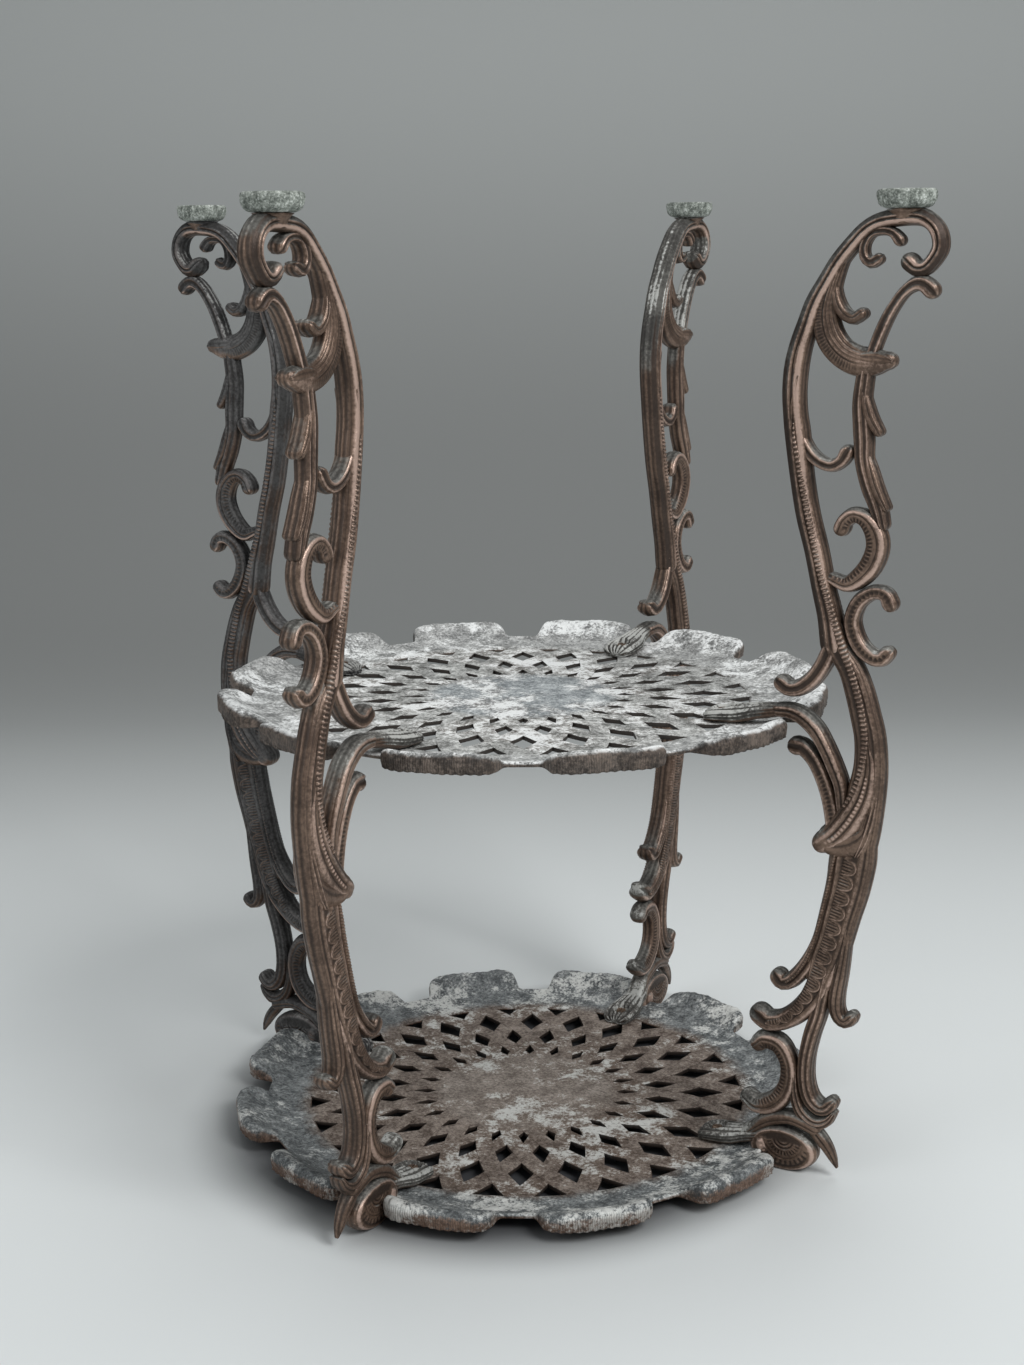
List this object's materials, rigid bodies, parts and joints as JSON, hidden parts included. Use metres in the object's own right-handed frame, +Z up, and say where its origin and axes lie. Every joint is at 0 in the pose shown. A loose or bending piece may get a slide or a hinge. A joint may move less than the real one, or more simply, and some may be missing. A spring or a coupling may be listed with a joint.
{
  "type": "plant stand",
  "caption": "Two-tier cast metal plant stand: pierced scalloped round trays held between scrolled openwork legs with fluted pads on top.",
  "frame": {"origin": "on the floor, at the middle of the stand, midway between the legs", "axes": "+Z up, +X towards the leg named right, +Y towards the leg named back, -X towards left and -Y towards front"},
  "size_m": [0.6456, 0.6456, 0.71],
  "materials": {
    "tray_oxide": "matt, oxidised and pitted",
    "leg_bronze": "worn brown finish on bare casting",
    "pad_oxide": "matt, speckled with oxide",
    "rusted_steel": "rusted"
  },
  "bodies": {
    "root": {"lower_tray": "tray_oxide", "upper_tray": "tray_oxide", "leg_right": "leg_bronze", "leg_back": "leg_bronze", "leg_left": "leg_bronze", "leg_front": "leg_bronze", "pad_right": "pad_oxide", "pad_back": "pad_oxide", "pad_left": "pad_oxide", "pad_front": "pad_oxide", "lower_screws": "rusted_steel", "lower_washers": "rusted_steel", "lower_nuts": "rusted_steel", "upper_screws": "rusted_steel", "upper_washers": "rusted_steel", "upper_nuts": "rusted_steel"}
  },
  "joints": []
}
